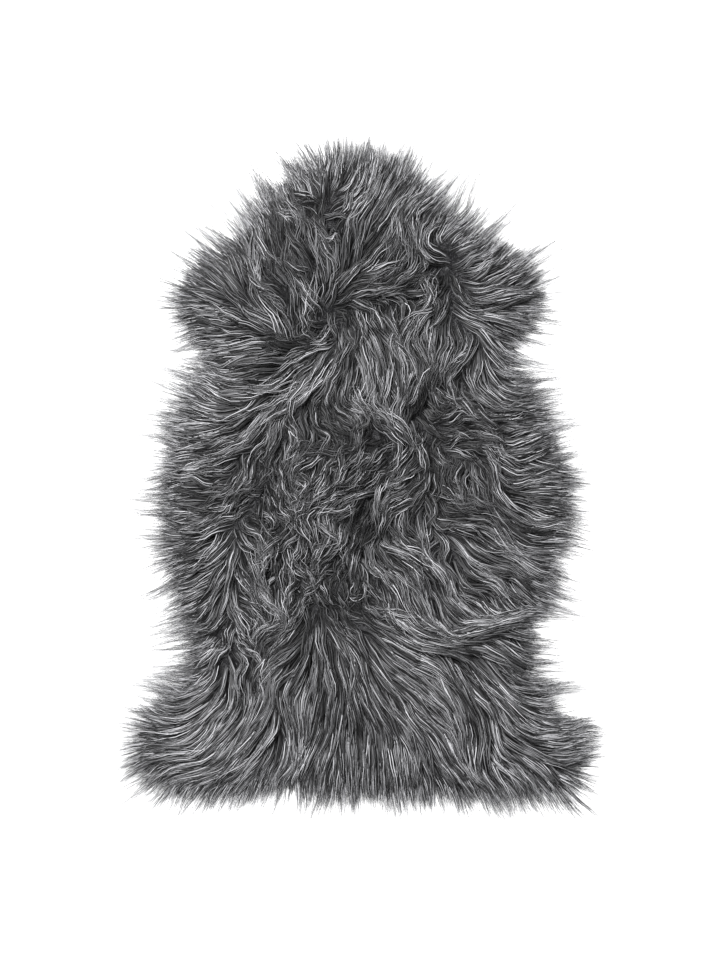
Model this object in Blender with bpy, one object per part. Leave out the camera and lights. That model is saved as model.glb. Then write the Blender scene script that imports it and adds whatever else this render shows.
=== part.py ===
"""A sheepskin rug laid out on the floor.

One tanned pelt, so one solid: a flat skin with a lumpy slab of long wool on it, and locks of wool
that hang over the rim and rest on the floor. Units are metres and +Z is up. +Y runs along the back
towards the neck. The origin is the middle of the face that the rug rests on.
"""
import math
import random
from collections import namedtuple

import bmesh
import bpy
from mathutils import Vector, kdtree, noise
from mathutils.geometry import delaunay_2d_cdt

MM = 0.001

# Driving sizes
PILE_HEIGHT = 43 * MM      # flattened wool over the middle of the skin, skin included
TUFT_HEIGHT = 16 * MM      # how far a tuft stands above the hollows beside it
TUFT_LENGTH = 66 * MM
TUFT_WIDTH = 31 * MM
TUFT_PITCH = 34 * MM
TUFT_SCATTER = 8 * MM      # how far a tuft may stray from its place in the even grid
TUFT_CROWN = 0.35          # the highest point lies this far from a tuft's middle towards its tip
TUFT_LOWEST = 0.55         # the lowest tuft's share of the tallest one's height
TUFT_MEAN = 0.45           # the share of the tuft height that counts as level
TUFT_FLANK = 0.8           # the share of its height that a tuft has lost at its sides
RIM_HEIGHT = 22 * MM       # the slab's height where the locks leave it
RIM_UNEVEN = 9 * MM        # how much that height wanders along the rim
RIM_ROUND = 60 * MM        # width of the band in which the top rounds down to the rim
CELL = 13 * MM             # side of the triangles that carry the tufts
CELL_SCATTER = 1.6 * MM
RIM_CLEARANCE = 10 * MM    # the grid stays this far inside the rim's own points
LOCK_COUNT = 204
NARROW_LOCK = 0.55         # the narrowest and the widest root, as shares of the usual one
WIDE_LOCK = 1.5
SHORT_LOCK = 0.72          # the shortest and the longest lock, as shares of the reach where it grows
LONG_LOCK = 1.14
LOCK_ARCH = 2 * MM         # a lock bridges the floor by this much before its tip rests on it
LOCK_CURL = 11 * MM        # the most that a tip swings to one side
SEED = 7
CURVE_STEPS = 24           # steps between two rows of the rim
SAME_POINT = 0.001 * MM    # corners closer than this are one
ROW_PITCH = math.sin(math.radians(60))   # distance of a triangular grid's rows for a pitch of 1
NEAREST_TUFTS = 8

# The rim of the skin, clockwise from the neck, in mm, and how far the wool reaches past it there.
Rim = namedtuple("Rim", "x y reach")
RIM = [
    Rim(-10, 410, 44), Rim(36, 406, 40), Rim(72, 380, 40), Rim(100, 346, 46), Rim(140, 315, 44),
    Rim(188, 286, 42), Rim(220, 250, 40), Rim(211, 210, 38), Rim(190, 172, 32), Rim(195, 138, 32),
    Rim(222, 98, 38), Rim(233, 62, 36), Rim(253, 22, 40), Rim(258, -45, 42), Rim(248, -92, 38),
    Rim(236, -146, 46), Rim(214, -188, 28), Rim(216, -226, 38), Rim(210, -256, 44), Rim(244, -300, 40),
    Rim(274, -338, 44), Rim(277, -372, 46), Rim(250, -396, 44), Rim(180, -402, 44), Rim(104, -401, 48),
    Rim(26, -402, 46), Rim(-40, -400, 40), Rim(-88, -388, 30), Rim(-128, -399, 38), Rim(-190, -401, 42),
    Rim(-250, -390, 40), Rim(-276, -360, 44), Rim(-262, -312, 46), Rim(-216, -260, 42),
    Rim(-206, -222, 40), Rim(-214, -180, 44), Rim(-236, -105, 40), Rim(-242, -20, 42), Rim(-234, 45, 42),
    Rim(-216, 98, 44), Rim(-192, 138, 36), Rim(-192, 170, 32), Rim(-215, 212, 42), Rim(-221, 245, 40),
    Rim(-194, 282, 40), Rim(-152, 308, 42), Rim(-124, 348, 36), Rim(-88, 380, 38), Rim(-50, 408, 42),
]

# Which way the wool lies at places on the pelt: mm, and degrees from +X towards +Y.
Comb = namedtuple("Comb", "x y heading")
COMB = [
    Comb(21, 410, 85), Comb(-78, 403, 115), Comb(113, 364, 45), Comb(183, 317, 30), Comb(-95, 317, 95),
    Comb(-208, 252, 152), Comb(-230, 209, 170), Comb(-198, 177, 190), Comb(0, 312, 85), Comb(65, 344, 55),
    Comb(21, 247, 5), Comb(207, 247, 10), Comb(183, 178, -35), Comb(65, 182, 270), Comb(-78, 156, 225),
    Comb(-221, 65, 180), Comb(-214, -52, 190), Comb(-195, -156, 205), Comb(-143, 104, 215),
    Comb(-75, 77, 275), Comb(-39, 0, 235), Comb(-104, -104, 265), Comb(137, 104, -40), Comb(234, 26, 0),
    Comb(252, -79, -10), Comb(240, -143, -25), Comb(104, 0, -70), Comb(44, -125, -60), Comb(137, -91, -35),
    Comb(169, -195, 15), Comb(-57, -221, 265), Comb(-143, -208, 230), Comb(-230, -273, 200),
    Comb(-273, -338, 192), Comb(-208, -390, 222), Comb(-143, -312, 238), Comb(-57, -338, 268),
    Comb(44, -338, 285), Comb(91, -416, 278), Comb(137, -260, 315), Comb(229, -319, -18),
    Comb(276, -354, -5), Comb(234, -410, -35), Comb(169, -416, 305),
]
COMB_SPREAD = 30 * MM      # a comb row hardly turns wool that is much further off than this
COMB_PULL = 0.6            # how much the comb turns the locks, against straight out

# Where the wool folds, in mm: the two ends, half the width, and how high long wool rolls over its
# neighbours there, or how deep it parts if the height is below 0.
Fold = namedtuple("Fold", "x0 y0 x1 y1 width height")
FOLDS = [
    Fold(-40, 230, 88, 252, 19, 11), Fold(60, 215, 70, 130, 28, 6), Fold(110, -212, 190, -184, 19, 10),
    Fold(150, -118, 200, -138, 18, 8), Fold(-178, -212, -84, -262, 20, 8),
    Fold(-66, 366, -40, 350, 24, -16), Fold(112, 282, 124, 228, 20, -14), Fold(88, 90, 84, 62, 20, -12),
    Fold(14, 58, 48, 50, 20, -12), Fold(-120, 12, -116, -22, 20, -12), Fold(-4, -76, 20, -84, 24, -14),
    Fold(-40, -172, 22, -166, 24, -15), Fold(-180, -216, -166, -232, 20, -10),
]

# Each lock's stations beyond its root: how far along, how wide, how tall, how much of the arch.
Station = namedtuple("Station", "along width height arch")
STATIONS = [Station(0.38, 0.95, 0.74, 1.0), Station(0.74, 0.62, 0.34, 0.0)]

# The line between two neighbouring locks.
Seam = namedtuple("Seam", "start heading curl")
SEAM_CLOSING = 0.55        # the share of their distance that two seams may lose over a lock's length
RIM_SPAN = 3               # the rim's direction is taken over this many points to each side
EASING_ROUNDS = 600
LONGEST_REACH = max(row.reach for row in RIM) * LONG_LOCK * MM


def clear_scene():
    for item in list(bpy.data.objects):
        bpy.data.objects.remove(item, do_unlink=True)


def catmull_rom(a, b, c, d, t):
    """The point at t between b and c on the smooth curve through a, b, c and d."""
    return 0.5 * (2 * b + (c - a) * t + (2 * a - 5 * b + 4 * c - d) * t * t
                  + (3 * b - a - 3 * c + d) * t ** 3)


def rim_points(count, dice):
    """Unevenly spaced points on the closed rim, each an (x, y, reach) vector in metres."""
    rows = [Vector(row) * MM for row in RIM]
    fine = []
    for i in range(len(rows)):
        a, b, c, d = (rows[(i + k) % len(rows)] for k in (-1, 0, 1, 2))
        fine += [catmull_rom(a, b, c, d, s / CURVE_STEPS) for s in range(CURVE_STEPS)]
    lengths = [(fine[(i + 1) % len(fine)] - fine[i]).xy.length for i in range(len(fine))]
    widths = [dice.uniform(NARROW_LOCK, WIDE_LOCK) for _ in range(count)]
    scale = sum(lengths) / sum(widths)
    points = []
    goal = 0.0
    walked = 0.0
    for i, length in enumerate(lengths):
        while len(points) < count and goal <= walked + length:
            points.append(fine[i].lerp(fine[(i + 1) % len(fine)], (goal - walked) / length))
            goal += widths[len(points) - 1] * scale
        walked += length
    return points


def comb_direction(point):
    """The unit direction in which the wool lies at a point."""
    total = Vector((0, 0))
    for row in COMB:
        near = (point - Vector((row.x, row.y)) * MM).length_squared + COMB_SPREAD ** 2
        heading = math.radians(row.heading)
        total += Vector((math.cos(heading), math.sin(heading))) / near ** 2
    return total.normalized()


def tree_of(points):
    tree = kdtree.KDTree(len(points))
    for index, point in enumerate(points):
        tree.insert((point.x, point.y, 0), index)
    tree.balance()
    return tree


def inside(point, rim):
    """Whether a point lies within the closed rim, by counting the edges to its right."""
    hit = False
    for a, b in zip(rim, rim[1:] + rim[:1]):
        if (a.y > point.y) != (b.y > point.y):
            hit ^= point.x < a.x + (point.y - a.y) * (b.x - a.x) / (b.y - a.y)
    return hit


def hex_grid(pitch, scatter, dice):
    """Points of a slightly uneven triangular grid that covers the pelt."""
    reach_x = max(abs(row.x) for row in RIM) * MM
    reach_y = max(abs(row.y) for row in RIM) * MM
    rows = int(reach_y / (pitch * ROW_PITCH)) + 1
    columns = int(reach_x / pitch) + 1
    for j in range(-rows, rows + 1):
        for i in range(-columns, columns + 1):
            x = (i + 0.5 * (j % 2)) * pitch + dice.uniform(-scatter, scatter)
            y = j * pitch * ROW_PITCH + dice.uniform(-scatter, scatter)
            yield Vector((x, y))


def make_tufts(dice):
    """Tufts all over the pelt: where each one is, which way it lies, and how tall it stands."""
    tufts = []
    for centre in hex_grid(TUFT_PITCH, TUFT_SCATTER, dice):
        tufts.append((centre, comb_direction(centre), dice.uniform(TUFT_LOWEST, 1.0)))
    return tufts


def tuft_relief(point, tufts, tree):
    """How high the tufts stand at a point, from 0 in a hollow to 1 on the tallest crown."""
    best = 0.0
    for _, index, _ in tree.find_n((point.x, point.y, 0), NEAREST_TUFTS):
        centre, heading, tall = tufts[index]
        offset = point - centre
        along = offset.dot(heading) / (0.5 * TUFT_LENGTH) - TUFT_CROWN
        along /= (1 - TUFT_CROWN) if along > 0 else (1 + TUFT_CROWN)
        across = (offset.x * heading.y - offset.y * heading.x) / (0.5 * TUFT_WIDTH)
        best = max(best, tall * (1 - along ** 2 - TUFT_FLANK * across ** 2))
    return best


def fold_height(point):
    """How far the rolls and partings raise or sink the wool at a point."""
    raised = 0.0
    sunk = 0.0
    for row in FOLDS:
        start = Vector((row.x0, row.y0)) * MM
        run = Vector((row.x1, row.y1)) * MM - start
        t = min(1.0, max(0.0, (point - start).dot(run) / run.length_squared))
        away = (point - start - run * t).length / (row.width * MM)
        change = row.height * MM * max(0.0, 1 - away * away)
        raised = max(raised, change)
        sunk = min(sunk, change)
    return raised + sunk


def wool_height(point, edge_distance, tufts, tree):
    """The height of the wool's surface at a point that far inside the rim."""
    uneven = RIM_UNEVEN * noise.noise(Vector((point.x, point.y, 0)) / TUFT_WIDTH)
    t = min(1.0, edge_distance / RIM_ROUND)
    dome = math.sqrt(1 - (1 - t) ** 2)
    slab = RIM_HEIGHT + uneven + (PILE_HEIGHT - RIM_HEIGHT - uneven) * dome
    relief = TUFT_HEIGHT * (tuft_relief(point, tufts, tree) - TUFT_MEAN)
    return slab + dome * (relief + fold_height(point))


def make_seams(rim):
    """The lines between neighbouring locks: where each starts on the rim, its heading and its curl.

    Wool grows straight out from the rim, turned partly with the comb. Where the rim is hollow the
    headings are eased apart, so that no two seams meet within a lock's length.
    """
    count = len(rim)
    headings = []
    for i, point in enumerate(rim):
        tangent = (rim[(i + RIM_SPAN) % count] - rim[i - RIM_SPAN]).xy.normalized()
        outwards = Vector((-tangent.y, tangent.x))
        heading = outwards + COMB_PULL * comb_direction(point.xy)
        headings.append(math.atan2(heading.y, heading.x))
    for _ in range(EASING_ROUNDS):
        for i, point in enumerate(rim):
            j = (i + 1) % count
            turn = headings[j] - headings[i]
            turn -= 2 * math.pi * round(turn / (2 * math.pi))
            gap = (rim[j] - point).xy.length
            excess = turn - SEAM_CLOSING * gap / (LONG_LOCK * point.z)
            if excess > 0:
                headings[i] += excess / 2
                headings[j] -= excess / 2
    curls = [LOCK_CURL * noise.noise(Vector((point.x, point.y, 1)) / TUFT_LENGTH) for point in rim]
    return [Seam(point.xy, *row) for point, *row in zip(rim, headings, curls)]


def triangulated_sheet(rim, dice):
    """A flat mesh inside the rim: the rim's own points, and an uneven grid within them."""
    tree = tree_of(rim)
    corners = [point.xy for point in rim]
    for point in hex_grid(CELL, CELL_SCATTER, dice):
        near = tree.find((point.x, point.y, 0))[2]
        if near > RIM_CLEARANCE and inside(point, rim):
            corners.append(point)
    edges = [(i, (i + 1) % len(rim)) for i in range(len(rim))]
    only_inside = 1
    points, _, faces, *_ = delaunay_2d_cdt(corners, edges, [], only_inside, SAME_POINT)
    bm = bmesh.new()
    verts = [bm.verts.new((point.x, point.y, 0)) for point in points]
    for face in sorted(faces):
        bm.faces.new([verts[index] for index in face])
    bmesh.ops.recalc_face_normals(bm, faces=bm.faces)
    if sum(face.normal.z for face in bm.faces) < 0:
        bmesh.ops.reverse_faces(bm, faces=bm.faces)
    return bm


def raise_wool(bm, rim, dice):
    """Lift the flat sheet to the wool's height and close it down to the floor."""
    rim_tree = tree_of(rim)
    tufts = make_tufts(dice)
    tuft_tree = tree_of([centre for centre, _, _ in tufts])
    for vert in bm.verts:
        edge_distance = 0.0 if vert.is_boundary else rim_tree.find((vert.co.x, vert.co.y, 0))[2]
        vert.co.z = wool_height(vert.co.xy, edge_distance, tufts, tuft_tree)
    boundary = [edge for edge in bm.edges if edge.is_boundary]
    made = bmesh.ops.extrude_edge_only(bm, edges=boundary)["geom"]
    walls = [item for item in made if isinstance(item, bmesh.types.BMFace)]
    for vert in (item for item in made if isinstance(item, bmesh.types.BMVert)):
        vert.co.z = 0.0
    foot = [edge for edge in bm.edges if edge.is_boundary]
    bmesh.ops.triangle_fill(bm, edges=foot, use_beauty=True, normal=(0, 0, -1))
    bmesh.ops.recalc_face_normals(bm, faces=bm.faces)
    return walls


def seam_point(seam, distance):
    """The place on the floor that far along the line between two locks."""
    out = Vector((math.cos(seam.heading), math.sin(seam.heading)))
    side = Vector((-out.y, out.x))
    return seam.start + out * distance + side * seam.curl * (distance / LONGEST_REACH) ** 2


def extrude_lock(bm, face, left, right, reach):
    """Draw one wall face out into a lock that droops, narrows and rests its tip on the floor."""
    height = max(vert.co.z for vert in face.verts)
    for station in STATIONS:
        face = bmesh.ops.extrude_discrete_faces(bm, faces=[face])["faces"][0]
        centre = face.calc_center_median()
        ends = [seam_point(seam, reach * station.along) for seam in (left, right)]
        middle = (ends[0] + ends[1]) / 2
        half = (ends[0] - ends[1]) / 2
        for vert in face.verts:
            hand = math.copysign(station.width, (vert.co - centre).xy.dot(half))
            top = vert.co.z > centre.z
            vert.co.xy = middle + half * hand
            vert.co.z = height * station.height if top else LOCK_ARCH * station.arch
    face = bmesh.ops.extrude_discrete_faces(bm, faces=[face])["faces"][0]
    tip = (seam_point(left, reach) + seam_point(right, reach)) / 2
    bmesh.ops.pointmerge(bm, verts=face.verts, merge_co=tip.to_3d())


def make_locks(bm, walls, rim, dice):
    """Turn every wall face into a lock; the locks meet only along the edges of their roots."""
    seams = make_seams(rim)
    reaches = [point.z * dice.uniform(SHORT_LOCK, LONG_LOCK) for point in rim]
    tree = tree_of([(point + rim[(i + 1) % len(rim)]) / 2 for i, point in enumerate(rim)])
    for wall in walls:
        index = tree.find(wall.calc_center_median().xy.to_3d())[1]
        extrude_lock(bm, wall, seams[index], seams[(index + 1) % len(seams)], reaches[index])


def centre_on_resting_face(bm):
    """Put the origin in the middle of the rug's own box, on the floor."""
    xs = [vert.co.x for vert in bm.verts]
    ys = [vert.co.y for vert in bm.verts]
    middle = Vector((min(xs) + max(xs), min(ys) + max(ys), 0)) / 2
    bmesh.ops.translate(bm, verts=bm.verts, vec=-middle)


def wool_material():
    material = bpy.data.materials.new("grey_wool")
    material.use_nodes = True
    shader = material.node_tree.nodes["Principled BSDF"]
    shader.inputs["Base Color"].default_value = (0.095, 0.095, 0.1, 1.0)
    shader.inputs["Roughness"].default_value = 0.75
    shader.inputs["Metallic"].default_value = 0.0
    return material


def make_sheepskin(collection):
    dice = random.Random(SEED)
    rim = rim_points(LOCK_COUNT, dice)
    bm = triangulated_sheet(rim, dice)
    walls = raise_wool(bm, rim, dice)
    make_locks(bm, walls, rim, dice)
    centre_on_resting_face(bm)
    bmesh.ops.triangulate(bm, faces=bm.faces)
    bmesh.ops.recalc_face_normals(bm, faces=bm.faces)
    mesh = bpy.data.meshes.new("sheepskin")
    bm.to_mesh(mesh)
    bm.free()
    mesh.materials.append(wool_material())
    sheepskin = bpy.data.objects.new("sheepskin", mesh)
    collection.objects.link(sheepskin)
    return sheepskin


def main():
    clear_scene()
    collection = bpy.data.collections.new("sheepskin_rug")
    bpy.context.scene.collection.children.link(collection)
    sheepskin = make_sheepskin(collection)
    size = sheepskin.dimensions
    print(f"sheepskin: {len(sheepskin.data.polygons)} triangles")
    print(f"size {size.x * 1000:.0f} x {size.y * 1000:.0f} x {size.z * 1000:.0f} mm")


main()
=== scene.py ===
# %% [markdown]
# # A long-haired sheepskin rug
#
# A sheepskin rug is one tanned pelt. The skin is a flat sheet of suede, a dense underwool grows
# from it, and over that lies the long hair, in locks that point the way the animal wore them.
# The rug lies flat, so all that shows from above is hair, and its look is made by four things:
# which way each lock lies, how the locks overlap, how dark it is between the hairs, and how the
# tips thin out around the rim.
#
# From far away a bumpy slab with the colour of wool would do. Close to, only separate strands
# give the shaggy outline and the dark gaps, so here each hair is a strip of its own.
#
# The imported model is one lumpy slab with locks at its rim. It is read here for every size: how
# high the wool stands, where the skin ends, and how far the locks reach.

import math

import bmesh
import bpy
import numpy as np
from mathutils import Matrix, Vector
from mathutils.bvhtree import BVHTree


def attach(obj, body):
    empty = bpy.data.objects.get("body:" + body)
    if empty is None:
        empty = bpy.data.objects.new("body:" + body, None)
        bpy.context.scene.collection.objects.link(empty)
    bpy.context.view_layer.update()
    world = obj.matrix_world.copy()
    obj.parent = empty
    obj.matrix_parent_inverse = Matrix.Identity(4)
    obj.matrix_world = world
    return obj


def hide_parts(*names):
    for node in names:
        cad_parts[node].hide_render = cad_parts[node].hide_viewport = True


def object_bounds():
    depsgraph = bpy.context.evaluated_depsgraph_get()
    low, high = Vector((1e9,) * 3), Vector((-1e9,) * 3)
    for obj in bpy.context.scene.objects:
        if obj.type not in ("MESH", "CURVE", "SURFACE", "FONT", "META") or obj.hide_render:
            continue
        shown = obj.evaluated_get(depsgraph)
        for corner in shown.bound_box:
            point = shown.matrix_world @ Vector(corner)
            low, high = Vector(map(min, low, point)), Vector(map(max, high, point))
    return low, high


MM = 0.001

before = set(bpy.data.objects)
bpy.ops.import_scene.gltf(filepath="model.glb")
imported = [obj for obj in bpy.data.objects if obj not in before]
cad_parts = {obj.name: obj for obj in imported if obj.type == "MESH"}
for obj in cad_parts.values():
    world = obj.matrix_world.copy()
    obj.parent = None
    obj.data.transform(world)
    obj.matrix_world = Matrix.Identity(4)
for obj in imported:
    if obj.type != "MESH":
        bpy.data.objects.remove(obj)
cad_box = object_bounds()
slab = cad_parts["sheepskin"]
print("the slab measures", [round(v / MM) for v in cad_box[1] - cad_box[0]], "mm")

# %% [markdown]
# ## Reading the slab
#
# The slab arrives as loose triangles. Merged, it tells three things. The triangles that lie on
# the floor are the underside of the skin, so their outer edge is the skin's rim. Each lock is a
# group of points beyond that rim, joined to one another and to their root. A ray dropped from
# above meets the wool's surface. The same values could be typed in, but read from the slab they
# stay true to it.

# %% Merge the slab and find the rim of the skin
MERGE = 0.01 * MM      # corners of the loose triangles that are nearer than this are one point
FLAT = 0.1 * MM        # a point lower than this rests on the floor

slab_mesh = bmesh.new()
slab_mesh.from_mesh(slab.data)
bmesh.ops.remove_doubles(slab_mesh, verts=slab_mesh.verts, dist=MERGE)
foot = {face for face in slab_mesh.faces if all(vert.co.z < FLAT for vert in face.verts)}


def longest_loop(faces):
    """The points of the longest closed edge around patches of faces, in order."""
    after = {}
    for face in faces:
        for loop in face.loops:
            if not any(other in faces for other in loop.edge.link_faces if other is not face):
                after[loop.vert] = loop.link_loop_next.vert
    longest = []
    while after:
        walk = [next(iter(after))]
        while walk[-1] in after:
            walk.append(after.pop(walk[-1]))
        longest = max(longest, walk[:-1], key=len)
    return longest


rim = np.array([vert.co.xy for vert in longest_loop(foot)])
print(len(rim), "points on the rim of the skin")

# %% Measure from the rim
FAR = 9.0              # metres, further than any place is from the rim


def rim_distance(x, y):
    """How far places lie inside the rim of the skin, in metres. It is negative outside."""
    nearest = np.full(np.shape(x), FAR)
    inside = np.zeros(np.shape(x), bool)
    for (ax, ay), (bx, by) in zip(rim, np.roll(rim, -1, axis=0)):
        run_x, run_y = bx - ax, by - ay
        t = ((x - ax) * run_x + (y - ay) * run_y) / (run_x ** 2 + run_y ** 2)
        t = np.clip(t, 0, 1)
        nearest = np.minimum(nearest, np.hypot(x - ax - t * run_x, y - ay - t * run_y))
        inside ^= ((ay > y) != (by > y)) & (x < ax + (y - ay) * run_x / (run_y or 1e-9))
    return np.where(inside, nearest, -nearest)


# %% Find the root and the tip of each lock
ROOT_BAND = 0.5 * MM   # a point further out than this belongs to a lock

slab_mesh.verts.index_update()
corners = np.array([vert.co for vert in slab_mesh.verts])
beyond = rim_distance(corners[:, 0], corners[:, 1]) < -ROOT_BAND


def lock_around(start, seen):
    """The root and the tip, in the plane, of the lock that a point beyond the rim belongs to."""
    fresh, own, root = [start], [], set()
    while fresh:
        vert = fresh.pop()
        if vert in seen:
            continue
        seen.add(vert)
        own.append(vert)
        for edge in vert.link_edges:
            other = edge.other_vert(vert)
            if beyond[other.index]:
                fresh.append(other)
            else:
                root.add(other)
    middle = sum((vert.co for vert in root), Vector()) / len(root)
    tip = max(own, key=lambda vert: (vert.co - middle).length)
    return [*middle.xy, *tip.co.xy]


seen = set()
locks = np.array([
    lock_around(vert, seen) for vert in slab_mesh.verts
    if beyond[vert.index] and vert not in seen
])
reach = np.hypot(locks[:, 2] - locks[:, 0], locks[:, 3] - locks[:, 1])
print(len(locks), f"locks, {reach.min() / MM:.0f} to {reach.max() / MM:.0f} mm long")

# %% [markdown]
# ## Fields over the pelt
#
# A groomer's tools act on places, not on single hairs, so the next cells lay a grid over the
# pelt and keep one number for each place: the wool's height, the distance to the rim, the way
# the hair is combed, and how tangled it is. They could be painted onto the mesh as weights, but
# a grid of numbers is easy to blur, to mix and to measure, and reading between its points gives
# a smooth value anywhere, for thousands of hairs at once.

# %% The grid, and a way to read it
GRID = 4 * MM
MARGIN = 60 * MM       # the hair stays well within this distance of the slab

grid_x = np.arange(cad_box[0].x - MARGIN, cad_box[1].x + MARGIN, GRID)
grid_y = np.arange(cad_box[0].y - MARGIN, cad_box[1].y + MARGIN, GRID)
place_x, place_y = np.meshgrid(grid_x, grid_y)


def read(field, x, y):
    """A field's value at places, worked out evenly between the grid's points."""
    u = np.clip((x - grid_x[0]) / GRID, 0, len(grid_x) - 1.001)
    v = np.clip((y - grid_y[0]) / GRID, 0, len(grid_y) - 1.001)
    i, j = u.astype(int), v.astype(int)
    u, v = u - i, v - j
    low = field[j, i] * (1 - u) + field[j, i + 1] * u
    high = field[j + 1, i] * (1 - u) + field[j + 1, i + 1] * u
    return low * (1 - v) + high * v


def blur(field, rounds):
    """Average each place with its four neighbours, again and again."""
    for _ in range(rounds):
        around = sum(np.roll(field, step, axis) for axis in (0, 1) for step in (1, -1))
        field = (field * 2 + around) / 6
    return field


# %% The wool's height, and the distance to the rim
SKY = 1.0              # metres, a height above the wool from which a ray is dropped

surface = BVHTree.FromBMesh(slab_mesh)


def height_below(x, y):
    hit = surface.ray_cast((x, y, SKY), (0, 0, -1))[0]
    return hit.z if hit else 0.0


wool_top = blur(np.array([[height_below(x, y) for x in grid_x] for y in grid_y]), 3)
edge = rim_distance(place_x, place_y)
print(f"wool {wool_top.max() / MM:.0f} mm high at most, on a grid of", wool_top.shape)
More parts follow.
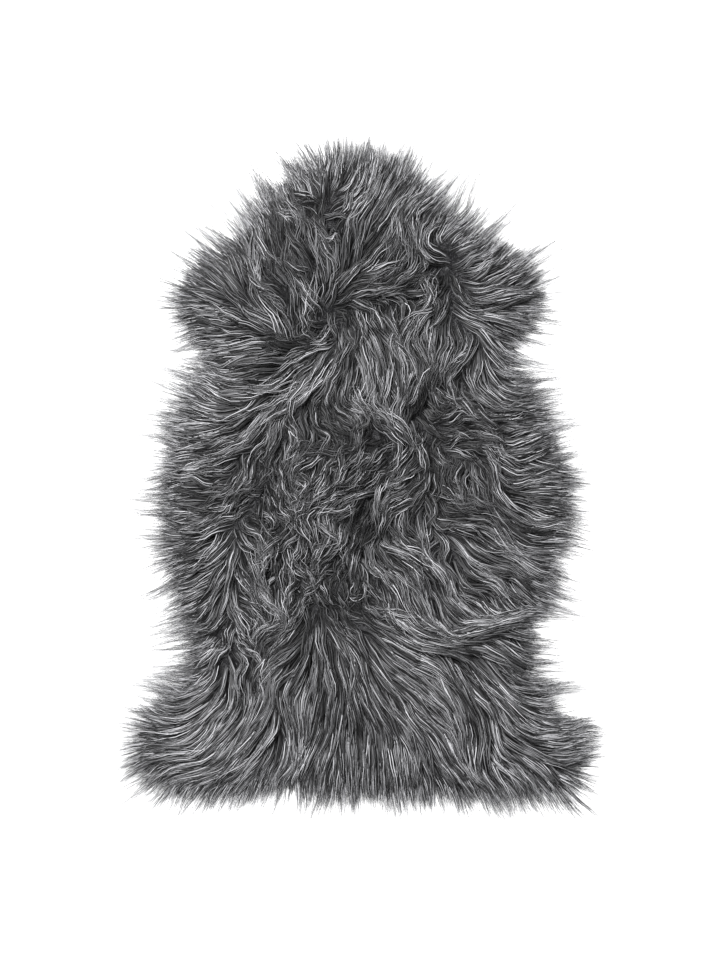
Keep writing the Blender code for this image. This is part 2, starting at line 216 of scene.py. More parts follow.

# %% [markdown]
# ## The comb
#
# Which way the hair lies is read off the photograph, place by place: a row gives the
# middle of a streak of hair in millimetres from the rug's middle, and the heading of its tips
# in degrees, counted from the right and turning left. Between the rows the heading turns
# smoothly. At the rim the slab's own locks join the table, so the hair leaves the skin the way
# they do. Blender's comb brush would do this by hand. A table does it in a script, and each row
# can be put right by itself.

# %% Headings of the hair
COMB = [
    # Neck
    (-65, 410, 108), (-99, 408, 135), (-32, 412, 66), (-39, 390, 68), (-56, 385, 124), (-20, 408, 75),
    (-26, 369, 48), (-75, 356, 165), (-124, 377, 112), (-117, 356, 130), (-94, 350, 140), (-26, 348, 30),
    (0, 358, 45), (-147, 328, 100), (-107, 333, 100), (-87, 325, 96), (-68, 330, 100), (-55, 315, 75),
    (-39, 325, -105), (-20, 325, 70), (-4, 322, 75), (-192, 309, 150), (-169, 312, 165), (-156, 320, 120),
    (-143, 309, 88), (-91, 308, 90), (-62, 308, 96), (-42, 304, 108), (-16, 304, 70), (13, 410, 75),
    (32, 410, 70), (47, 410, 52), (78, 416, 68), (32, 384, 68), (52, 382, 52), (107, 393, 30),
    (9, 361, 60), (47, 356, 50), (86, 364, 25), (104, 358, 35), (34, 335, 55), (52, 335, 62),
    (66, 328, 95), (112, 348, 52), (124, 368, 70), (138, 361, 85), (156, 355, 70), (42, 312, 60),
    (60, 312, 90), (78, 317, 80), (94, 322, 30), (112, 322, 40), (127, 328, 30), (150, 322, 52),
    # Forelegs and arch
    (-195, 291, 168), (-150, 291, 118), (-135, 276, 86), (-52, 283, 112), (-32, 291, 116), (8, 296, 66),
    (55, 296, 80), (75, 299, 108), (96, 304, 165), (96, 289, 176), (143, 299, 30), (-208, 273, 142),
    (-96, 260, 126), (-52, 265, 94), (-31, 264, 44), (-10, 270, 46), (10, 273, 45), (31, 270, 38),
    (55, 278, 36), (73, 276, 30), (95, 266, -92), (104, 250, -90), (143, 280, 20), (164, 281, 34),
    (-182, 247, 140), (-156, 244, 128), (-136, 244, 98), (-117, 244, 142), (-90, 239, 100),
    (-70, 244, 112), (-55, 242, 92), (-39, 246, 50), (-20, 250, 14), (0, 248, 0), (26, 246, -4),
    (49, 255, 28), (72, 256, 20), (57, 238, -16), (75, 243, 8), (133, 247, -30), (156, 254, 38),
    (-208, 224, 156), (-179, 221, 166), (-155, 226, 142), (-130, 220, 150), (-91, 213, 126),
    (-73, 221, 92), (-55, 224, 84), (-26, 230, 5), (-5, 224, -50), (8, 217, -68), (31, 226, -92),
    (52, 217, -110), (66, 218, -124), (86, 220, -138), (99, 216, -134), (112, 221, -78), (130, 222, -22),
    (146, 211, -20), (159, 231, 22), (182, 234, 20), (162, 217, 2), (-211, 198, 178), (-155, 195, -174),
    (-133, 205, 170), (-95, 198, 118), (-75, 200, 80), (-60, 190, -135), (-39, 195, -120),
    (-23, 198, -98), (-6, 198, -90), (21, 195, -62), (39, 196, -62), (53, 195, -118), (69, 194, -114),
    (84, 195, -114), (99, 200, -110), (92, 182, -84), (112, 191, -80), (131, 195, -60), (150, 195, -50),
    (185, 195, -6),
    # Shoulders
    (-198, 174, -176), (-103, 169, -166), (-78, 169, -154), (-52, 169, -134), (-31, 174, -102),
    (21, 164, -88), (34, 174, -56), (47, 169, -60), (73, 169, -68), (86, 168, -76), (112, 169, -114),
    (125, 174, -124), (136, 166, -138), (151, 174, -118), (164, 174, -42), (-195, 143, 154),
    (-156, 142, -154), (-31, 148, -118), (8, 143, -90), (26, 143, -76), (112, 146, -138),
    (125, 142, -124), (153, 140, -100), (183, 143, -50), (202, 142, -34), (-187, 117, 152),
    (-164, 116, 170), (-135, 120, -170), (-109, 118, -146), (-83, 118, -136), (-57, 120, -128),
    (-31, 118, -114), (-12, 116, -96), (8, 117, -94), (27, 118, -88), (46, 122, -80), (65, 117, -100),
    (84, 116, -70), (117, 120, -56), (136, 117, -60), (176, 117, -58), (196, 116, -22), (221, 110, 5),
    (-195, 94, 158), (-169, 90, 172), (-148, 96, -164), (-127, 92, -128), (-104, 94, -116),
    (-81, 94, -102), (-58, 94, -74), (-38, 95, -44), (-18, 98, -30), (1, 98, -40), (21, 86, -30),
    (34, 92, -60), (52, 92, -118), (65, 86, -134), (78, 94, -90), (91, 99, -90), (118, 88, 10),
    (131, 86, -6), (143, 92, -34), (177, 92, -24), (196, 91, 12), (240, 101, 12),
    # Back
    (-169, 73, -178), (-143, 66, -144), (-108, 70, -108), (-91, 65, -56), (-52, 65, -60), (-32, 73, -48),
    (-13, 65, -25), (8, 65, -160), (34, 65, -36), (47, 64, -52), (58, 65, -76), (72, 65, -66),
    (105, 66, -30), (118, 69, 4), (136, 72, -24), (156, 65, -40), (169, 65, -70), (183, 64, 18),
    (202, 65, 10), (222, 77, 15), (242, 65, 20), (-221, 42, 172), (-169, 39, -157), (-143, 44, -146),
    (-117, 42, -128), (-98, 44, -98), (-84, 51, -68), (-65, 42, -155), (-38, 40, -148), (-13, 39, -158),
    (18, 46, -98), (39, 39, -144), (52, 43, -98), (68, 39, -102), (81, 43, -56), (92, 48, -108),
    (101, 39, -60), (117, 39, -6), (136, 39, 0), (157, 42, -10), (169, 46, -62), (179, 52, -82),
    (196, 44, -10), (216, 49, 5), (244, 40, 18), (-224, 13, 178), (-195, 16, -174), (-169, 14, -153),
    (-143, 18, -63), (-124, 18, -62), (-94, 13, -94), (-83, 17, -134), (-32, 13, -102), (-18, 6, -128),
    (13, 13, -148), (34, 16, -136), (84, 20, -98), (99, 13, -46), (130, 13, -88), (143, 16, -76),
    (155, 16, -70), (185, 13, -60), (203, 13, -28), (221, 18, -6), (242, 20, -10), (263, 13, -5),
    (283, 13, 14), (-226, -16, 180), (-195, -13, -150), (-169, -14, -149), (-143, -16, -164),
    (-126, -13, -68), (-78, -13, -96), (-64, -13, -102), (-46, -13, -132), (-5, -16, -144),
    (31, -10, -110), (47, -17, -154), (66, -13, -146), (86, -8, -132), (94, -17, -70), (105, -8, -42),
    (136, -10, -46), (156, -10, -40), (169, -12, -64), (183, -12, -64), (203, -13, 22), (221, -10, 14),
    (-195, -44, -146), (-176, -36, -122), (-150, -39, -148), (-127, -39, -60), (-113, -42, -95),
    (-96, -36, -66), (-77, -40, -146), (-52, -32, -148), (-29, -36, -168), (-12, -38, -138),
    (1, -39, -104), (14, -39, -98), (27, -40, -100), (53, -35, -140), (73, -32, -160), (100, -34, -96),
    (114, -34, -40), (131, -32, -6), (144, -42, -12), (164, -39, -30), (182, -39, -50), (203, -36, -30),
    (221, -42, -30), (296, -39, 5), (-226, -72, -160), (-195, -66, -155), (-169, -62, -158),
    (-147, -66, -55), (-133, -65, -68), (-117, -65, -135), (-103, -72, -88), (-91, -72, -126),
    (-74, -65, -52), (-62, -73, -90), (-51, -60, -42), (-31, -65, -48), (-10, -65, -64), (1, -58, -118),
    (14, -65, -138), (27, -60, -118), (43, -64, -85), (69, -65, -60), (87, -52, -135), (105, -60, -12),
    (125, -61, -2), (143, -65, -6), (157, -69, -46), (170, -72, -50), (188, -66, -58), (203, -72, -48),
    (218, -65, -10), (242, -65, 5), (296, -65, -15),
    # Loin
    (-195, -90, -150), (-174, -86, -110), (-155, -91, -84), (-135, -90, -62), (-120, -92, -134),
    (-103, -91, -98), (-88, -88, -118), (-62, -86, -110), (-39, -90, -160), (-18, -88, -120),
    (21, -98, -84), (34, -92, -60), (60, -86, -50), (73, -88, -36), (92, -82, -160), (112, -95, -135),
    (125, -90, -34), (138, -86, -58), (183, -96, -18), (202, -86, -44), (218, -91, -12), (243, -88, 8),
    (268, -91, 0), (289, -91, -15), (-231, -117, -168), (-203, -117, -155), (-182, -122, -144),
    (-164, -114, -88), (-148, -117, -74), (-135, -112, -122), (-122, -116, -136), (-107, -114, -72),
    (-75, -117, -68), (-64, -117, -106), (-44, -117, -130), (-25, -117, -110), (3, -118, -78),
    (21, -117, -66), (91, -118, -50), (107, -112, -42), (134, -117, -54), (151, -117, -20),
    (169, -117, -24), (187, -120, 12), (202, -116, -50), (216, -117, -44), (234, -120, -15),
    (-231, -143, -170), (-203, -142, -159), (-181, -144, -136), (-164, -142, -92), (-151, -143, -54),
    (-135, -143, -60), (-125, -143, -76), (-96, -143, -64), (-79, -143, -144), (-38, -143, -134),
    (26, -143, -56), (65, -143, -50), (81, -143, -68), (95, -140, -52), (112, -136, -98),
    (125, -138, -90), (138, -144, 8), (156, -138, 10), (182, -143, -60), (-207, -169, -146),
    (-188, -164, -132), (-173, -164, -110), (-156, -166, -20), (-142, -169, -46), (-129, -174, -88),
    (-113, -169, -70), (-96, -172, -98), (-83, -166, -124), (-64, -169, -134), (-44, -170, -70),
    (21, -164, -60), (40, -169, -50), (105, -166, -80), (120, -166, -46), (136, -166, -50),
    (156, -166, -55), (169, -164, -58), (183, -162, -55), (198, -162, -40), (216, -162, -28),
    (-207, -195, -150), (-188, -192, -140), (-170, -195, -66), (-152, -192, -110), (-135, -191, -98),
    (-122, -198, -157), (-109, -195, -164), (-91, -198, -157), (-74, -203, -132), (-55, -205, -98),
    (-34, -195, -50), (5, -183, 10), (21, -188, -10), (40, -188, -25), (98, -202, -12), (110, -195, -66),
    (124, -202, 12), (143, -198, 24), (164, -194, 22), (183, -185, 28), (203, -176, 25), (222, -176, 5),
    (209, -192, 5),
    # Haunches
    (-226, -220, -167), (-200, -221, -165), (-181, -218, -164), (-161, -222, -40), (-143, -221, -46),
    (-126, -221, -92), (-109, -218, -144), (-91, -218, -152), (-78, -228, -122), (-69, -222, -96),
    (-44, -226, -72), (-18, -221, -58), (-3, -218, -50), (9, -221, -46), (117, -221, -8), (138, -221, 0),
    (170, -218, -24), (190, -214, -30), (203, -221, -34), (-226, -246, -164), (-200, -247, -150),
    (-183, -248, -102), (-168, -244, -76), (-155, -244, -118), (-126, -244, -144), (-103, -247, -148),
    (-88, -247, -134), (-73, -244, -98), (-58, -244, -98), (-44, -242, -68), (-29, -247, -50),
    (-5, -247, -72), (53, -244, -32), (112, -247, -54), (130, -244, -60), (150, -244, -54),
    (208, -248, -42), (-226, -272, -160), (-200, -273, -147), (-186, -268, -134), (-168, -273, -86),
    (-155, -273, -78), (-142, -273, -114), (-126, -273, -120), (-109, -273, -100), (-91, -273, -114),
    (53, -273, -42), (130, -273, -68), (169, -273, -45), (229, -273, -12), (-270, -289, -170),
    (-208, -289, -148), (-182, -289, -128), (-130, -289, -124), (-94, -290, -72), (-49, -289, -92),
    (-25, -289, -88), (-4, -294, -72), (47, -289, -56), (105, -289, -40), (-185, -312, -122),
    (-135, -309, -128), (-96, -315, -76), (86, -315, -40), (105, -315, -44), (125, -315, -62),
    (138, -313, -76), (151, -312, -66), (168, -315, -80), (203, -315, -46), (222, -312, -36),
    (242, -315, -12), (263, -312, -5),
    # Hind legs and tail
    (-312, -338, 178), (-182, -341, -138), (-130, -335, -132), (-113, -341, -114), (-92, -341, -86),
    (112, -338, -52), (129, -338, -84), (144, -335, -96), (160, -338, -94), (177, -335, -74),
    (196, -339, -24), (235, -341, -6), (302, -333, -18), (-315, -364, -174), (-233, -360, -174),
    (-155, -358, -142), (-131, -361, -137), (-70, -361, -114), (-48, -361, -116), (-12, -364, -90),
    (14, -364, -92), (34, -364, -81), (129, -370, -40), (143, -359, -105), (157, -359, -94),
    (173, -361, -64), (190, -364, -27), (229, -361, -28), (248, -361, -10), (274, -361, 4),
    (300, -361, -3), (-303, -384, -150), (-252, -385, -149), (-226, -387, -172), (-200, -387, -162),
    (-174, -387, -146), (-96, -385, -128), (-12, -393, -92), (112, -387, -50), (151, -393, -46),
    (209, -393, -50), (248, -390, -40), (285, -385, -36), (-272, -410, -138), (-220, -410, -135),
    (-174, -422, -111), (-113, -419, -115), (-51, -421, -127), (-21, -420, -98), (8, -416, -114),
    (27, -416, -86), (105, -416, -78), (125, -416, -70), (144, -416, -51), (183, -416, -38),
    (235, -416, -27), (281, -403, -44),
]
PICTURE_MIDDLE = (1.2, -2.3)   # mm; the slab stands on the middle of its own box, just beside it

print(len(COMB), "streaks of hair")

# %% Turn the comb into a field of directions
COMB_SPREAD = 10 * MM      # streaks nearer than this share the hair between them
LOCK_MIDDLE = 0.4          # a lock speaks for the place this far from its root to its tip

lock_heading = np.degrees(np.arctan2(locks[:, 3] - locks[:, 1], locks[:, 2] - locks[:, 0]))
lock_middle = locks[:, :2] + LOCK_MIDDLE * (locks[:, 2:] - locks[:, :2])
comb_rows = np.vstack([
    (np.array(COMB) + (*PICTURE_MIDDLE, 0)) * (MM, MM, 1),
    np.column_stack([lock_middle, lock_heading]),
])
comb_x = np.zeros_like(place_x)
comb_y = np.zeros_like(place_x)
for x, y, heading in comb_rows:
    pull = ((place_x - x) ** 2 + (place_y - y) ** 2 + COMB_SPREAD ** 2) ** -2
    comb_x += pull * math.cos(math.radians(heading))
    comb_y += pull * math.sin(math.radians(heading))
strength = np.hypot(comb_x, comb_y)
comb_x, comb_y = comb_x / strength, comb_y / strength
print(len(comb_rows), "headings, with those of the locks at the rim")

# %% [markdown]
# ## What else varies over the pelt
#
# Along the back the wool is felted and curly, and it lies smooth near the rim. In a few places
# it parts, sinks and shows its roots, and the hair over it is painted dark as shade; in others
# the hair is painted paler where it catches the light.
# Each is a short table of round places, in millimetres from the rug's middle, that is painted
# onto the grid with soft edges, as a groomer would point them out on the real pelt.

# %% Where the hair is tangled
def away_from(x, y, radius):
    """How far every place is from one of the tables' places, as a share of the radius."""
    away = np.hypot(place_x - (x + PICTURE_MIDDLE[0]) * MM, place_y - (y + PICTURE_MIDDLE[1]) * MM)
    return away / (radius * MM)


# x, y and radius, then how tangled: 0 is smooth, 1 is a crimped mess.
TANGLES = [
    (-20, 20, 150, 0.6), (90, 40, 110, 0.6), (-110, -20, 110, 0.7), (-60, -110, 70, 0.9),
    (-150, -190, 55, 0.9), (-60, 350, 50, 0.8), (60, 260, 70, 0.5), (-75, 250, 60, 0.5),
    (-60, 190, 40, 0.5), (-20, -130, 60, 0.9), (110, 150, 60, 0.4), (100, 90, 60, 0.6),
    (-150, 190, 40, 0.4), (70, 120, 50, 0.5), (-35, 215, 35, 0.8), (110, 262, 35, 0.8), (10, 245, 35, 0.6),
]
tangle = np.zeros_like(place_x)
for x, y, radius, amount in TANGLES:
    tangle = np.maximum(tangle, amount * np.clip(1.25 - away_from(x, y, radius), 0, 1))
# Smooth wool is a little tangled too, and all of it less so towards the rim.
smooth_rim = 0.05 + 0.07 * np.clip(edge / (110 * MM), 0, 1)
tangle = smooth_rim + 0.88 * blur(tangle, 6) * np.clip(0.4 + edge / (90 * MM), 0, 1)
print(f"tangled by {tangle.max():.2f} at most")

# %% Where partings are painted dark as shade, and where painted light falls on the tips
# x, y and radius.
PARTINGS = [
    (-98, 312, 31), (-62, 367, 12), (-52, 356, 13), (13, 320, 13), (115, 250, 15), (121, 234, 12),
    (-156, 142, 12), (-109, 178, 16), (-90, 217, 8), (-10, 194, 13), (40, 222, 10),
    (-160, 72, 12), (92, 110, 13), (87, 77, 25), (99, 43, 13), (105, 8, 12), (-39, 73, 16),
    (-13, 47, 17), (24, 54, 20), (17, 8, 12), (-18, -8, 10), (-120, -6, 14), (-127, -58, 12),
    (-20, -55, 9), (7, -78, 21), (79, -31, 10), (120, -46, 9), (166, -47, 12), (-46, -120, 13),
    (-20, -143, 12), (-42, -188, 16), (-18, -177, 17), (-65, -194, 10), (-74, -229, 9), (20, -194, 10),
    (-127, -214, 9), (-166, -229, 8), (-138, -244, 6), (169, -146, 12), (112, -166, 8), (176, -208, 13),
    (-221, -22, 14), (202, -124, 8), (153, -325, 12), (198, -58, 8), (-74, 46, 9),
]
CATCHING = [
    (-179, 116, 17), (-143, 112, 12), (-65, 122, 14), (6, 122, 13), (17, 169, 10), (-35, 168, 10),
    (94, 168, 14), (-169, 179, 12), (162, 280, 13), (-99, 247, 8), (108, 246, 8), (-31, -372, 9),
    (-164, -116, 8), (65, -143, 17), (47, -200, 9), (182, -170, 8), (144, -104, 10), (221, -173, 8),
    (17, -104, 9), (260, -326, 12), (-273, -290, 9), (-221, 84, 13), (-228, 13, 12),
    (84, -221, 16), (-32, 221, 12), (112, 278, 12), (-32, 383, 10), (-189, 117, 14), (-117, 117, 10),
]


def spots(rows):
    """A field that is 1 at the middle of each round spot and fades to 0 at its edge."""
    field = np.zeros_like(place_x)
    for row in rows:
        field = np.maximum(field, np.clip(1.2 * (1 - away_from(*row) ** 2), 0, 1))
    return field


parted = spots(PARTINGS)
catching = spots(CATCHING)
print(len(PARTINGS), "partings,", len(CATCHING), "places that catch the light")

# %% Wide patches of paler, darker and longer hair
# x, y and radius, then how much paler the wool is. Below 0 it is darker.
PATCHES = [
    (-170, 266, 58, -0.45), (162, 104, 62, -0.35), (150, -26, 70, -0.2), (5, -335, 120, -0.2),
    (165, -262, 55, -0.28), (45, 330, 45, -0.2), (-20, 98, 30, -0.3), (-45, 172, 42, 0.2),
    (-95, 99, 50, 0.2), (225, 62, 45, 0.25), (-205, -140, 50, 0.2), (-245, -300, 60, 0.1),
    (210, 165, 32, 0.35), (100, 292, 28, 0.25), (285, -345, 50, 0.3), (-150, -412, 55, 0.35),
    (40, -414, 50, 0.4),
]
# x, y and radius, then how much further out the hair reaches at the rim. Below 0 it is shorter.
LONGER = [
    (-290, -355, 65, 0.7), (285, -370, 65, 1.0), (256, -276, 48, -0.7), (-262, -272, 44, -0.65),
    (-52, 402, 28, 0.5), (178, 302, 32, -0.6), (246, 78, 24, -0.5), (-224, 128, 28, -0.4),
    (13, -396, 22, -0.5), (-78, -396, 24, 0.3),
]


def soft_patches(rows):
    """A field of wide round patches, each with its own amount at its middle."""
    field = np.zeros_like(place_x)
    for *place, amount in rows:
        field += amount * np.clip(1 - away_from(*place) ** 2, 0, 1)
    return field


paler = soft_patches(PATCHES)
longer = 1 + soft_patches(LONGER)
print(f"the hair's reach at the rim is scaled by {longer.min():.2f} to {longer.max():.2f}")

# %% Tufts: neighbouring locks that lie and stand alike
TUFT_ROUNDS = 22       # rounds of blurring, after which a tuft is about 15 mm wide
chance = np.random.default_rng(5)


def soft_noise():
    """A random field that changes over the width of a tuft, with a spread of 1."""
    field = blur(chance.normal(size=place_x.shape), TUFT_ROUNDS)
    return field / field.std()


sway = soft_noise()
swell = soft_noise()
print("tufts sway by up to", round(float(abs(sway).max()), 1), "spreads")

# %% [markdown]
# ## The underwool and the skin
#
# Under the long hair a dense, short wool fills the pelt. Between the locks one sees it only as
# darkness, so it is painted near black as shade, and at low angles it keeps the daylight from
# shining through. A coat of short hairs would use up triangles that no one sees, so one closed
# body serves: the slab's own top sheet, sunk to a little over half its height, rounded down at
# the rim, and closed underneath.
#
# The skin is two millimetres of suede. It is the same sheet laid flat, and a Solidify modifier
# gives it its thickness, which can then be changed in one place.

# %% A patch of the slab's top, once for the underwool and once for the skin
STEEP = 0.05           # a face whose normal rises less than this is no part of the top


def top_patch():
    """The slab's top sheet without its locks, laid flat at height 0."""
    patch = slab_mesh.copy()
    patch.verts.index_update()
    slab_mesh.normal_update()
    patch.normal_update()
    extra = [
        face for face in patch.faces
        if face.normal.z < STEEP or any(beyond[vert.index] for vert in face.verts)
    ]
    bmesh.ops.delete(patch, geom=extra, context="FACES")
    for vert in patch.verts:
        vert.co.z = 0
    return patch


def as_object(bm, name):
    mesh = bpy.data.meshes.new(name)
    bm.to_mesh(mesh)
    bm.free()
    piece = bpy.data.objects.new(name, mesh)
    bpy.context.collection.objects.link(piece)
    return piece


# %% How high the underwool stands
BED_SHARE = 0.55           # the underwool's height, as a share of the wool's
BED_FOOT = 2.2 * MM        # its height at the very rim, just above the skin
BED_ROUND = 26 * MM        # width of the band in which it rounds down to the rim

bed_height = blur(wool_top, 3) * BED_SHARE
bed_height *= np.sqrt(np.clip((edge + 6 * MM) / BED_ROUND, 0, 1))
bed_height = np.maximum(bed_height, BED_FOOT * (edge > -8 * MM))
print(f"the underwool is {bed_height.max() / MM:.0f} mm high at most")

# %% Build the underwool
SKIN_THICKNESS = 2 * MM
BED_ROUGH = 1.2            # mm, how far its points stand higher or lower by chance


def open_edges(bm):
    return [side for side in bm.edges if side.is_boundary]


patch = top_patch()
bmesh.ops.subdivide_edges(patch, edges=patch.edges, cuts=1, use_grid_fill=True)
rng = np.random.default_rng(3)
for vert in patch.verts:
    x, y = np.array([vert.co.x]), np.array([vert.co.y])
    vert.co.z = read(bed_height, x, y)[0] + rng.uniform(-1, 1) * BED_ROUGH * MM
made = bmesh.ops.extrude_edge_only(patch, edges=open_edges(patch))["geom"]
for vert in (item for item in made if isinstance(item, bmesh.types.BMVert)):
    vert.co.z = SKIN_THICKNESS
bmesh.ops.triangle_fill(patch, edges=open_edges(patch), use_beauty=True)
bmesh.ops.triangulate(patch, faces=patch.faces)
bmesh.ops.recalc_face_normals(patch, faces=patch.faces)
underwool = as_object(patch, "underwool")
underwool.data.shade_smooth()
print("underwool:", len(underwool.data.polygons), "triangles")

# %% Build the skin
skin = as_object(top_patch(), "skin")
thickness = skin.modifiers.new("thickness", "SOLIDIFY")
thickness.thickness = SKIN_THICKNESS
thickness.offset = 1
print("skin:", len(skin.data.polygons), "faces before it is thickened")

# %% [markdown]
# ## Node arithmetic
#
# Nodes can be placed and joined one by one, but that takes pages and hides the formula. Here
# `Wire` holds one output of a node, and an expression on wires places the Math nodes that work
# it out. `Graph` places every other kind of node. The same two classes serve the materials and
# the tree that grows the hair.

# %% Wires
def operator(operation, swapped=False):
    """A method that stands for a Math node. Swapped, the wire is its second value."""
    def place_node(wire, other):
        return wire.graph.maths(operation, *((other, wire) if swapped else (wire, other)))
    return place_node


class Wire:
    """One output of a node, with arithmetic that adds the nodes it needs."""

    __add__ = operator("ADD")
    __radd__ = operator("ADD", swapped=True)
    __sub__ = operator("SUBTRACT")
    __rsub__ = operator("SUBTRACT", swapped=True)
    __mul__ = operator("MULTIPLY")
    __rmul__ = operator("MULTIPLY", swapped=True)
    __truediv__ = operator("DIVIDE")
    __pow__ = operator("POWER")

    def __init__(self, graph, socket):
        self.graph = graph
        self.socket = socket

    def out(self, name):
        """Another output of the same node."""
        return Wire(self.graph, self.socket.node.outputs[name])


def is_vector(value):
    if isinstance(value, Wire):
        return value.socket.type in ("VECTOR", "RGBA")
    return isinstance(value, (tuple, Vector))


# %% Graphs
def named(sockets, name):
    """A node's socket by its number, or by its name among those that are in use."""
    if isinstance(name, int):
        return sockets[name]
    return next(socket for socket in sockets if socket.name == name and socket.enabled)


class Graph:
    """Places nodes in a tree."""

    def __init__(self, tree):
        self.tree = tree

    def add(self, kind, settings=None, sockets=None):
        """A node of that kind, its settings made first, its sockets given values or wires."""
        node = self.tree.nodes.new(kind)
        for name, value in (settings or {}).items():
            setattr(node, name, value)
        for name, value in (sockets or {}).items():
            socket = named(node.inputs, name)
            if isinstance(value, Wire):
                self.link(value, socket)
            else:
                socket.default_value = value
        if not node.outputs:
            return node
        return Wire(self, next((socket for socket in node.outputs if socket.enabled), None))

    def link(self, wire, socket):
        self.tree.links.new(wire.socket, socket)

    def maths(self, operation, *values):
        """A Math node, or a Vector Math node where a vector takes part."""
        vectors = [is_vector(value) for value in values]
        kind = "ShaderNodeVectorMath" if any(vectors) else "ShaderNodeMath"
        if operation == "MULTIPLY" and any(vectors) and not all(vectors):
            vector, scale = sorted(values, key=is_vector, reverse=True)
            return self.add(kind, {"operation": "SCALE"}, {0: vector, "Scale": scale})
        return self.add(kind, {"operation": operation}, dict(enumerate(values)))

    def point(self, **parts):
        """A vector from its X, Y and Z, of which any may be left out."""
        return self.add("ShaderNodeCombineXYZ", {}, parts)

    def parts(self, vector):
        """The X, Y and Z of a vector."""
        split = self.add("ShaderNodeSeparateXYZ", {}, {0: vector})
        return [split.out(axis) for axis in "XYZ"]

    def noise(self, dimensions, **sockets):
        return self.add("ShaderNodeTexNoise", {"noise_dimensions": dimensions}, sockets)

    def mixed(self, factor, first, second):
        """A colour between two others."""
        return self.add("ShaderNodeMix", {"data_type": "RGBA"},
                        {"Factor": factor, "A": first, "B": second})

    def capture(self, geometry, domain, items):
        """Hold values on a geometry while it changes. Gives the geometry and the held values."""
        node = self.tree.nodes.new("GeometryNodeCaptureAttribute")
        node.domain = domain
        self.link(geometry, node.inputs["Geometry"])
        for name, (kind, wire) in items.items():
            node.capture_items.new(kind, name)
            self.link(wire, node.inputs[name])
        held = {name: Wire(self, node.outputs[name]) for name in items}
        return Wire(self, node.outputs["Geometry"]), held


# %% [markdown]
# ## Guide hairs
#
# Hair in a lock moves as one. Combed one by one, neighbouring hairs would cross like straw. So
# a few thousand guide hairs are combed in Python, one for each lock, and every hair then
# follows the guide nearest to its root. A guide starts on the underwool, rises to its own level
# in the pile and runs along the comb's field, waving a little. Where the wool is tangled it
# strays and curls. Each guide is worked out in three steps: where it runs, how high it stands,
# and how pale it is.

# %% Scatter roots over the skin
rng = np.random.default_rng(11)


def scattered(pitch, stray):
    """Places on an uneven triangular grid over the skin."""
    rows = np.arange(grid_y[0], grid_y[-1], pitch * math.sin(math.radians(60)))
    columns = np.arange(grid_x[0], grid_x[-1], pitch)
    x, y = np.meshgrid(columns, rows)
    x[1::2] += pitch / 2
    x = x.ravel() + rng.uniform(-stray, stray, x.size)
    y = y.ravel() + rng.uniform(-stray, stray, y.size)
    kept = rim_distance(x, y) > 0
    return x[kept], y[kept]


# %% Smooth random curves
STEPS = 11             # points of a guide
ALONG = np.linspace(0, 1, STEPS)[None, :]


def noise_along(waves):
    """A smooth random curve for each guide, with so many waves, between about -1 and 1."""
    total = np.zeros((len(waves), STEPS))
    for octave in (1, 2):
        phase = rng.uniform(0, 2 * math.pi, (len(waves), 1))
        total += np.sin(2 * math.pi * waves[:, None] * octave * ALONG + phase) / octave ** 2
    return total / 1.25


# %% Where a guide runs
BOX_GIVE = 4 * MM      # how far hair may stand out of the slab's own box
SLOW_AT_REACH = 0.12   # a guide's pace where its reach beyond the rim is used up
SLOW_AT_BOX = 0.03     # its pace at the edge of the box


def walk_comb(x, y, turn, bend, length, past_rim, brake):
    """Paths along the comb. Within the brake's length of its limit a guide slows down."""
    path = [(x, y)]
    step = length / (STEPS - 1)
    for point in range(1, STEPS):
        angle = np.arctan2(read(comb_y, x, y), read(comb_x, x, y)) + turn + bend[:, point]
        wall = np.minimum(cad_box[1].x - np.abs(x), cad_box[1].y - np.abs(y)) + BOX_GIVE
        pace = np.clip((past_rim + read(edge, x, y)) / brake, SLOW_AT_REACH, 1)
        pace = pace * np.clip(2 * wall / brake, SLOW_AT_BOX, 1)
        x = x + np.cos(angle) * step * pace
        y = y + np.sin(angle) * step * pace
        path.append((x, y))
    return np.array(path).transpose(1, 2, 0)


# %% How high a guide stands
RISEN = 0.5                # the share of its length after which a guide is at its level
DROOP = 0.3                # how much lower its tip is, as a share
PARTING_DEPTH = 0.5        # how much lower it lies in a parting, as a share
LOWEST_LIFT = 0.6          # mm, of the tip of a guide
LIFT_WAVE = 30 * MM
LIFT_SWING = (0.6, 2.4)    # mm: in smooth wool, and what tangling adds


def tangled(amounts, messy):
    """An amount that grows with the tangle: its value in smooth wool, and what tangling adds."""
    return amounts[0] + amounts[1] * messy


def lift_guides(path_x, path_y, length, level, messy):
    """The height of the underwool below each point of the guides, and the lift above it."""
    rise = np.clip(ALONG / RISEN, 0, 1)
    rise = rise * rise * (3 - 2 * rise)
    droop = 1 - DROOP * ALONG ** 3
    bed = read(bed_height, path_x, path_y)
    room = np.maximum(read(wool_top, path_x, path_y), bed) - bed
    wave = noise_along(length / LIFT_WAVE) * tangled(LIFT_SWING, messy)[:, None] * MM
    hollow = 1 - PARTING_DEPTH * read(parted, path_x, path_y)
    lift = room * level[:, None] * rise * droop * hollow + wave * ALONG
    return bed, np.clip(lift, LOWEST_LIFT * MM * ALONG, None)


# %% How pale a guide is
SHADE = 0.42
OWN_SHADE = 0.15           # how far chance makes it paler or darker, more so where it is tangled
HIGH_LIGHT = 0.15          # a guide at the top of the pile catches more light
RIM_LIGHT = 0.3            # hair near the rim is paler, as the light comes through it
RIM_LIGHT_WIDTH = 100 * MM
CATCH_LIGHT = 0.35
# Painted shade on the hair that lies over a parting.
PARTING_SHADE = 0.9
UPPER = STEPS // 3         # the first point of a guide that lies open to the light


